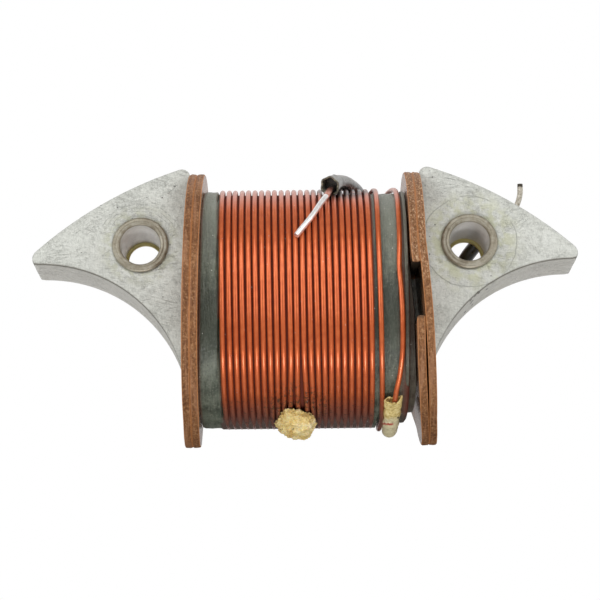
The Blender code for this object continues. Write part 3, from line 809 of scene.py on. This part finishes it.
def build_sheet(number):
    """One lamination: a punched sheet with rolled edges and two holes."""
    outline = []
    for point in wing_outline(1) + [(-x, y) for x, y in reversed(wing_outline(-1))]:
        if not outline or (Vector(point) - Vector(outline[-1])).length > 0.02:
            outline.append(point)
    bottom = -STACK / 2 + SHEET_GAP / 2 + STACK / SHEETS * number
    top = bottom + (STACK / SHEETS - SHEET_GAP)
    front_sheet = number == SHEETS - 1
    wander = (rough((number * 3.1, 0, 0), 1.0, 5.0) * 0.06, rough((number * 2.3, 4, 0), 1.0, 9.0) * 0.06)
    roll = 0.2 if front_sheet else 0.09
    levels = [(bottom, roll * 0.9), (bottom + roll * 0.5, roll * 0.25), (bottom + roll, 0.0),
              (top - roll, 0.0), (top - roll * 0.45, roll * 0.25), (top, roll)]
    # On these levels of the front sheet, the edge carries a painted shade line where it faces -Y.
    shaded_levels = (3, 4) if front_sheet else ()
    angles = [-math.tau * i / 48 for i in range(48)]
    loops = [outline] + [[(x + SHEET_HOLE * math.cos(a), y + SHEET_HOLE * math.sin(a)) for a in angles]
                         for x, y, _ in (LEFT_HOLE, RIGHT_HOLE)]
    shape = bmesh.new()
    edge = shape.verts.layers.float.new("edge")
    open_edges = {0: [], len(levels) - 1: []}
    for loop in loops:
        rings = []
        for level, (z, inset) in enumerate(levels):
            ring = [shape.verts.new(world((x + wander[0], y + wander[1], z))) for x, y in shrunk(loop, inset)]
            rings.append(ring)
            if level in shaded_levels and loop is outline:
                for vert, here, inside in zip(ring, outline, shrunk(outline, 0.1)):
                    vert[edge] = limited((inside[1] - here[1]) * 14)
        for first, second in zip(rings, rings[1:]):
            join_rings(shape, first, second)
        for level, found in open_edges.items():
            found += ring_edges(shape, rings[level])
    for edges in open_edges.values():
        fill(shape, edges)
    face_outwards(shape)
    name = f"{number + 1:02d}"
    show(f"punched_sheet_{name}", shape, STEEL, f"core_lamination_{name}", 50)


def build_rivet(label, side):
    """A tube whose two ends are rolled outwards over the stack. Its back end is a little narrower."""
    bore, rim, top, face = BORE / 2 - 0.02, RIM_RADIUS, RIM_TOP, STACK / 2 + 0.03
    from_bore = [(0.05, 0.32), (0.12, 0.14), (0.22, 0.04), (0.36, 0.0), (0.52, 0.015), (0.56, 0.05),
                 (0.62, 0.02)]
    from_rim = [(0.3, 0.03), (0.14, 0.08), (0.03, 0.2), (0.0, 0.31), (0.03, 0.38), (0.12, 0.4)]
    from_back = [(0.4, 0.0), (-0.2, 0.02), (-0.36, 0.2), (-0.38, 0.8), (-0.3, 0.9), (0.0, 0.98)]
    profile = [(bore, 0.0), (bore, top - 0.55)]
    profile += [(bore + out, top - down) for out, down in from_bore]
    profile += [(rim - inwards, top - down) for inwards, down in from_rim]
    profile += [(rim - 0.26, face), (bore + 0.5, face), (bore + 0.5, 0.0), (bore + 0.5, -face),
                (rim - 0.2, -face), (rim, 0.25 - top), (rim - 0.1, 0.06 - top)]
    profile += [(bore + out, up - top) for out, up in from_back]
    rings = []
    for i in range(RIVET_STEPS):
        angle = math.tau * i / RIVET_STEPS
        c, n = math.cos(angle), math.sin(angle)
        wave = 1.0 + 0.008 * rough((c * 1.5, n * 1.5, side * 3.0), 1.0, 2.0)
        lift = 0.03 * rough((c * 2.0, n * 2.0, side * 5.0), 1.0, 7.0) - 0.02
        ring = []
        for r, z in profile:
            height = z + (lift * math.copysign(1, z) if abs(z) > face + 0.2 else 0.0)
            height = max(-top, min(top, height))
            ring.append(Vector((side * SCREW_SPAN / 2 + r * wave * c, HOLE_Y + r * wave * n, height)))
        rings.append(ring)
    piece(f"rolled_rivet_{label}", *loft(rings, True), RIVET, "rivet", f"mounting_rivet_{label}", 50)


# ---- cheeks

def cheek_outline(width, floor, turn):
    """The round plate with its slot, in its own plane as (across, up), the slot open towards up."""
    half = width / 2
    opening = math.asin(half / CHEEK_RADIUS)
    points = arc((0.0, 0.0), CHEEK_RADIUS, math.pi / 2 + opening, math.pi / 2 + math.tau - opening, 150)
    rise = CHEEK_RADIUS * math.cos(opening)
    points += [(half, rise - (rise - floor) * i / 22) for i in range(1, 22)]
    points += [(half - width * i / 10, floor) for i in range(0, 11)]
    points += [(-half, floor + (rise - floor) * i / 22) for i in range(1, 22)]
    spin = Matrix.Rotation(turn, 2)
    return [tuple(spin @ Vector(p)) for p in points]


def build_cheek(name, outer_face, side, opens, seed, inner=False):
    """One slotted board. opens is the way its slot faces, as an angle from +Y towards +Z."""
    along_z = abs(math.sin(opens)) > 0.5
    width = (LEG_WIDTH if along_z else STACK) + 2 * SLOT_PLAY
    floor = -(STACK if along_z else LEG_WIDTH) / 2 - SLOT_PLAY
    outline = cheek_outline(width, floor, opens - math.pi / 2)
    inner_x = side * (outer_face - CHEEK_THICK)
    outer_x = side * outer_face

    def at(x, y, z):
        """A point of the flat board, once the board leans, bows and twists."""
        if inner:
            x += bow(side, y)
        sag = limited((-9.0 - y) / 5.0)
        x += (RIGHT_TWIST if side > 0 else LEFT_TWIST) * sag * max(0.0, 8.0 - z)
        return Vector((x + lean(side, y) + 0.02 * rough((0.0, y, z), 0.12, seed), y, z))

    shape = bmesh.new()
    rim = shape.verts.layers.float.new("rim")
    rings = []
    for k in range(CHEEK_LAYERS + 1):
        t = k / CHEEK_LAYERS
        x = inner_x + (outer_x - inner_x) * t
        ring = []
        for p in shrunk(outline, CHEEK_CROWN * abs(2 * t - 1) ** 4):
            ragged = 0.06 * rough((x * 2.2, *p), 1.1, seed) + 0.06 * rough((x, *p), 2.6, seed + 4)
            reach = Vector(p)
            reach = reach * (1.0 + (ragged - 0.03) / max(reach.length, 1.0))
            vert = shape.verts.new(world(at(x, *reach)))
            vert[rim] = 1.0 if k in (0, CHEEK_LAYERS) else 0.7
            ring.append(vert)
        rings.append(ring)
    for first, second in zip(rings, rings[1:]):
        join_rings(shape, first, second)
    for x, ring in ((inner_x, rings[0]), (outer_x, rings[-1])):
        flat = [shape.verts.new(world(at(x, *p))) for p in shrunk(outline, CHEEK_CROWN + 0.12)]
        join_rings(shape, ring, flat)
        fill(shape, ring_edges(shape, flat))
    face_outwards(shape)
    show(f"board_{name}", shape, BOARD, name, 45)


# ---- coil

def cheek_face(side, y):
    """X of the side of the inner cheek that faces the coil."""
    if side < 0:
        return -LEFT_CHEEK_X + CHEEK_STEP + CHEEK_THICK + lean(-1, y)
    return RIGHT_CHEEK_X - CHEEK_STEP - CHEEK_THICK + lean(1, y) + bow(1, y)


def first_wire(angle):
    """X of the first turn of wire at an angle round the coil."""
    return START_X + PITCH * (((math.pi - angle) % math.tau) / math.tau)


def build_wrap():
    """The varnished cloth round the inner winding. It is drawn in where the wire lies on it, and low in
    the picture varnish fills the grooves between the turns."""
    columns, steps = 92, 240
    angles = [math.tau * i / steps - math.pi / 2 for i in range(steps)]
    seat = WINDING_RADIUS - WIRE / 2 - 0.015
    grooves_end, shade_end, swell_start = START_X + PITCH * (TURNS + 0.6), 8.62, 9.6
    rings, shade = [], []
    for c in range(columns + 1):
        ring = []
        for angle in angles:
            flank = around(0, angle, 15.0)
            start = cheek_face(-1, flank.y) + 0.05
            end = min(cheek_face(1, flank.y) - 0.08, WRAP_LIMIT_X)
            x = start + (end - start) * (c / columns)
            first = first_wire(angle)
            ridge = limited((first - WIRE / 2 - 0.1 - x) / 0.22)
            ridge = ridge * ridge * (3 - 2 * ridge)
            size = WRAP_RADIUS + (WRAP_END_RADIUS + 0.05 - WRAP_RADIUS) * ridge
            size += 0.06 * rough((x * 1.8, flank.y * 0.35, flank.z * 0.35), 1.0, 4.0)
            size += 0.035 * rough((x, flank.y, flank.z), 0.9, 6.0)
            if x > swell_start:
                swell = min(1.0, (x - swell_start) / 1.2)
                size += 0.10 * swell * (0.6 + 0.4 * rough((x * 1.2, flank.y * 0.2, 0), 1.0, 3.0))
            size -= 0.12 * fade((x - start) / 0.3) ** 2 + 0.45 * fade((end - x) / 0.5) ** 2
            sunk = limited((-13.6 - SLANT_Y * flank.y - SLANT_Z * flank.z) / 0.7)
            if first - 0.4 - 0.4 * sunk < x < grooves_end:
                size = seat + sunk * (WIRE - 0.04) if sunk else min(size, seat)
            ring.append(around(x, angle, size))
            # Painted shade under the turns and next to each cheek, carried to the material as a value at each
            # point.
            shade_depth = 1.0 if first - 0.35 - 0.4 * sunk < x < shade_end else 0.0
            shade.append(max(shade_depth, 0.9 * fade((end - x) / 1.5), 0.6 * fade((x - start) / 0.16)))
        rings.append(ring)
    for c in (columns, 0):
        rings.append([around(rings[c][i].x, angles[i], PAPER_RADIUS + 0.02) for i in range(steps)])
        shade += [1.0] * steps
    made = piece("cloth_wrap", *loft(rings, True), CLOTH, "varnished_cloth", "varnished_cloth_wrap", 50)
    paint(made, "painted_shade", shade)


def build_band(name, node, ends, inside, outside, start, end, seed, steps, shade_depth):
    """A strip of the cloth round part of the coil, from one angle in degrees to another.
    ends(y) gives its two X at a height, and the last argument is how much painted shade darkens it."""
    rings = []
    for i in range(steps + 1):
        t = i / steps
        degrees = start + (end - start) * t
        angle = math.radians(degrees)
        taper = min(1.0, min(t, 1 - t) * 14 + 0.35)
        top = inside + (outside - inside) * taper
        wave = (0.05 * rough((degrees * 0.08, 0, 0), 1.0, seed)
                + 0.03 * rough((degrees * 0.3, 3, 0), 1.0, seed))
        low_x, high_x = ends(around(0, angle, 15.0).y)
        a, b = low_x + wave, high_x + wave * 0.3
        profile = [(a, inside), (b, inside), (b + 0.03, (inside + top) / 2), (b - 0.04, top - 0.03),
                   ((a + b) / 2, top + 0.02), (a + 0.05, top - 0.04), (a - 0.02, (inside + top) / 2)]
        rings.append([around(x, angle, size + wave * 0.5) for x, size in profile])
    made = piece(name, *loft(rings), CLOTH, "varnished_cloth", node, 35)
    paint(made, "painted_shade", [shade_depth] * len(made.data.vertices))


def spread(x, angle):
    """How far the wires are pushed apart beside the wax."""
    degrees = math.degrees(math.atan2(math.sin(angle), math.cos(angle)))
    window = fade(((degrees + 75) / 38) ** 2)
    away = x + 1.0
    push = 0.26 * window * math.copysign(1.0, away)
    return push * math.exp(-((away / 2.2) ** 2)) * min(1.0, abs(away) / 0.25)


def red_wire(name, node, path, radius=WIRE / 2, ease=0.2):
    piece(name, *swept(path, radius, WIRE_SIDES, ease=ease), ENAMEL, "enamelled_wire", node)


def build_winding():
    """The layer of close turns, and the turn set off from it."""
    steps = 72
    path = []
    for i in range(TURNS * steps + 1):
        turn = i / steps
        angle = math.pi - math.tau * turn
        x = START_X + PITCH * turn
        whole = math.floor(turn)
        place = Vector((whole * 1.7 + turn * 0.35, math.sin(angle) * 0.8, math.cos(angle) * 0.8))
        jitter = 0.07 * noise.noise(place)
        lift = 0.03 * noise.noise(Vector((turn * 1.9, 7.0, math.sin(angle))))
        path.append(around(x + jitter + spread(x, angle), angle, WINDING_RADIUS, lift))
    red_wire("winding_wire", "outer_winding", path)
    route = [(8.6, 175, 0), (8.6, 125, 0.05), (8.62, 103, 0.15), (8.8, 88, 0.25), (9.08, 76, 0.18),
             (9.26, 64, 0.03), (9.29, 20, 0), (9.47, -32, 0.05), (9.65, -80, 0.15), (9.5, -103, 0.45),
             (9.75, -135, 0.2), (9.95, -176, 0.1)]
    red_wire("winding_end_turn", "outer_winding_end_turn", wound_path(route, 16))


def build_finish_lead():
    """The wire that crosses the cloth at the right, and the sleeve it goes into."""
    route = [(10.0, 179, 0.1), (10.1, 145, 0.1), (10.3, 118, 0.1), (10.6, 101, 0.25), (11.05, 89, 0.38),
             (11.5, 79, 0.3), (11.82, 68, 0.1), (11.95, 52, 0.05), (11.95, 36, 0.05), (11.9, 20, 0.05),
             (11.8, 8, 0.05), (12.0, -5, 0.05), (12.1, -19, 0.05), (12.05, -32, 0.1), (11.75, -43, 0.25),
             (11.3, -52, 0.6), (11.15, -58, 0.75)]
    red_wire("finish_wire", "finish_lead_wire", wound_path(route, 10))
    path = wound_path([(10.95, -56.5, 0.75), (10.9, -66, 0.68), (10.85, -80, 0.66), (10.85, -92, 0.66),
                       (10.85, -106, 0.66)], 14)

    def crinkle(t, angle, place):
        fold = 0.06 * math.sin(30 * t + 2.2 * math.sin(angle) + 3.0 * rough(place, 0.7, 2.0)) * (1 - t) ** 0.7
        ragged = 0.09 * rough(place, 1.1, 5.0)
        flat = fade(t / 0.4)
        wide, thin = 1.06 + 0.16 * flat, 1.06 - 0.46 * flat
        pressed = 1.0 / math.sqrt((math.cos(angle) / wide) ** 2 + (math.sin(angle) / thin) ** 2)
        close = 1.0 - 0.45 * max(0.0, (t - 0.9) / 0.1) ** 2
        return (pressed + fold + ragged) * close

    def torn(t, angle):
        corner = max(0.0, math.cos(angle)) ** 6
        return -(0.75 * corner + 0.12 * math.sin(5 * angle + 1.0)) * fade(t / 0.12)

    tube = swept(path, SLEEVE / 2, 40, crinkle, side=(1, 0, 0), mouths=((0.2, 0.8), None), ease=0.25,
                 slip=torn)
    piece("cream_tube", *tube, CREAM, "cream_sleeve", "cream_lead_sleeve", 60)


def build_wax():
    """The torn lump of wax over the lowest turns."""
    shape = bmesh.new()
    bmesh.ops.create_icosphere(shape, subdivisions=6, radius=1.0)
    angle = math.radians(-76)
    turn = Matrix.Rotation(-angle, 3, "X")
    middle = around(-1.42, angle, WINDING_RADIUS, WIRE / 2 + 0.4)
    for vert in shape.verts:
        n = vert.co.normalized()
        crease = abs(rough(n, 1.7, 11.0)) + 0.5 * abs(rough(n, 3.6, 4.0)) + 0.25 * abs(rough(n, 8.0, 9.0))
        lump = 0.98 + 0.26 * rough(n, 1.3, 3.0) + 0.34 * (0.42 - crease)
        torn = max(0.0, rough(n, 5.0, 2.0)) * 0.22 + max(0.0, rough(n, 11.0, 5.0)) * 0.12
        lump += torn * max(0.0, n.y * 0.9 + 0.3)
        point = Vector((n.x * 2.35 * lump, n.y * 3.1 * lump, n.z * 1.85 * lump))
        point.z = max(point.z, -0.3 + 0.1 * rough(n, 3.0, 8.0))
        vert.co = world(middle + turn @ point)
    show("wax_lump", shape, WAX, "wax_seal")


def build_start_lead():
    """The crumpled sleeve on top, the red wire in its mouth and that wire's hammered, tinned end."""
    radius = 1.02
    rest = WIRE / 2 + radius - 0.14
    route = [(3.3, 55.3, rest + 0.05), (4.3, 66, rest), (5.8, 81, rest), (7.2, 97, rest), (8.0, 118, rest),
             (8.3, 142, rest), (8.2, 170, rest)]
    path = wound_path(route, 12)

    def crumple(t, angle, place):
        near = fade(t / 0.14)
        corners = 0.07 * math.cos(6 * angle + 0.8) + 0.05 * math.cos(2 * angle + 0.5)
        return 1.0 + near * (0.27 + corners) + 0.04 * rough(place, 0.9, 9.0)

    tube = swept(path, radius, 42, crumple, mouths=((0.24, 1.8), None), ease=0.5)
    made = piece("start_tube", *tube, DARK_SLEEVE, "dark_sleeve", "start_lead_sleeve", 50)
    from_mouth = [((v.co - AXIS) / MM - path[0]).length for v in made.data.vertices]
    paint(made, "cut_end", [fade(away / 1.7) for away in from_mouth])
    route = [(4.0, 62, 0.75), (3.45, 56, 0.8), (3.15, 51, 0.95), (2.95, 47.5, 1.05), (2.77, 45.3, 1.1)]
    red_wire("start_wire", "start_lead_wire", wound_path(route, 8), WIRE / 2 + 0.07, 0.05)
    route = [(2.77, 45.2, 1.1), (2.0, 39.5, 1.05), (0.8, 31.5, 0.95), (-1.1, 22, 0.85)]

    def hammered(t, angle, place):
        return 1.0 + 0.05 * rough(place, 1.0, 3.0) + 0.08 * t * math.cos(2 * angle)

    tube = swept(wound_path(route, 12), WIRE / 2 + 0.05, 16, hammered)
    piece("tinned_tip", *tube, TINNED, "tinned_wire", "start_lead_tinned_end")


def finish_cad_nodes():
    """The nodes whose CAD shape stays: only their material changes."""
    looks = {
        "core_leg_insulation": paper_finish("leg_tube_paper", (0.20, 0.13, 0.07), (0.36, 0.26, 0.15)),
        "inner_winding": paper_finish("fine_wire_layers", (0.24, 0.06, 0.02), (0.45, 0.14, 0.05)),
        "inner_winding_paper": paper_finish("layer_paper", (0.38, 0.30, 0.17), (0.58, 0.48, 0.30)),
    }
    for name, look in looks.items():
        node = frame["nodes"][name]
        node.data.materials.clear()
        node.data.materials.append(look)


# ---- stage

# Name, direction from the coil, distance and size in metres, power in watts.
SOFTBOXES = (("softbox_left", (-1.0, 0.25, 0.75), 0.55, (0.30, 0.45), 0.92),
             ("softbox_right", (1.0, 0.25, 0.75), 0.55, (0.30, 0.45), 0.72),
             ("softbox_top", (0.0, 0.62, 1.0), 0.6, (0.50, 0.25), 1.1),
             ("softbox_low", (0.0, -1.45, 1.0), 0.6, (0.50, 0.12), 1.45))
FLOOR_HALF, FLAG_HALF, WORLD_LIGHT = 1.6, 0.30, 0.5


def stage_sheet(name, look, low, high, z):
    """A flat rectangle between two corners."""
    data = bpy.data.meshes.new(name)
    (x0, y0), (x1, y1) = low, high
    data.from_pydata([(x0, y0, z), (x1, y0, z), (x1, y1, z), (x0, y1, z)], [], [(0, 1, 2, 3)])
    data.materials.append(look)
    return new_object(name, data)


def build_floor():
    """A pale floor that the camera sees as plain white."""
    look = material("pale_floor")
    tree = look.node_tree
    shader = tree.nodes["Principled BSDF"]
    preset(shader, {"Base Color": (0.85, 0.85, 0.85, 1.0), "Roughness": 0.9, "Specular IOR Level": 0.1})
    glow = tree.nodes.new("ShaderNodeEmission")
    mix = tree.nodes.new("ShaderNodeMixShader")
    seen = tree.nodes.new("ShaderNodeLightPath")
    tree.links.new(seen.outputs["Is Camera Ray"], mix.inputs[0])
    tree.links.new(shader.outputs["BSDF"], mix.inputs[1])
    tree.links.new(glow.outputs["Emission"], mix.inputs[2])
    tree.links.new(mix.outputs["Shader"], tree.nodes["Material Output"].inputs["Surface"])
    floor = stage_sheet("floor", look, (-FLOOR_HALF, -FLOOR_HALF), (FLOOR_HALF, FLOOR_HALF), FLOOR_Z - 0.0002)


def build_flag():
    """A black card in front of the coil, which only the reflections in the wires see."""
    look = material("black_flag")
    preset(look.node_tree.nodes["Principled BSDF"], {"Base Color": (0.03, 0.03, 0.03, 1.0)})
    flag = stage_sheet("flag", look, (-FLAG_HALF, AXIS.y - 0.16), (FLAG_HALF, AXIS.y - 0.017),
                       FLOOR_Z - 0.0001)
    flag.visible_camera = False
    flag.visible_shadow = False


def build_lights():
    for name, direction, distance, size, power in SOFTBOXES:
        light = bpy.data.lights.new(name, "AREA")
        light.shape = "RECTANGLE"
        light.size, light.size_y = size
        light.energy = power
        lamp = new_object(name, light)
        away = Vector(direction).normalized()
        lamp.location = AXIS + away * distance
        lamp.rotation_euler = away.to_track_quat("Z", "Y").to_euler()
    studio = bpy.data.worlds.new("studio")
    studio.use_nodes = True
    preset(studio.node_tree.nodes["Background"], {"Color": (1.0, 1.0, 1.0, 1.0), "Strength": WORLD_LIGHT})
    bpy.context.scene.world = studio


# ---- the object

build_rear_lead()
for number in range(SHEETS):
    build_sheet(number)
build_rivet("left", -1)
build_rivet("right", 1)
quarter = math.pi / 2
build_cheek("cheek_left_outer", LEFT_CHEEK_X, -1, 0.0, 1.0)
build_cheek("cheek_left_inner", LEFT_CHEEK_X - CHEEK_STEP, -1, -quarter, 2.0)
build_cheek("cheek_right_outer", RIGHT_CHEEK_X, 1, 0.0, 3.0)
build_cheek("cheek_right_inner", RIGHT_CHEEK_X - CHEEK_STEP, 1, quarter + math.radians(SLOT_TURN), 4.0, True)
build_wrap()
build_band("cloth_rolled_edge", "wrap_rolled_edge", lambda y: (12.45, 12.95), 14.6, 15.2,
           -52, 200, 3.0, 160, 0.1)
build_band("cloth_end_flap", "wrap_end_flap", lambda y: (12.7, min(14.0, cheek_face(1, y) - 0.1)),
           12.9, 13.55, -130, 35, 5.0, 90, 0.2)
build_winding()
build_finish_lead()
build_wax()
build_start_lead()
finish_cad_nodes()
build_floor()
build_flag()
build_lights()
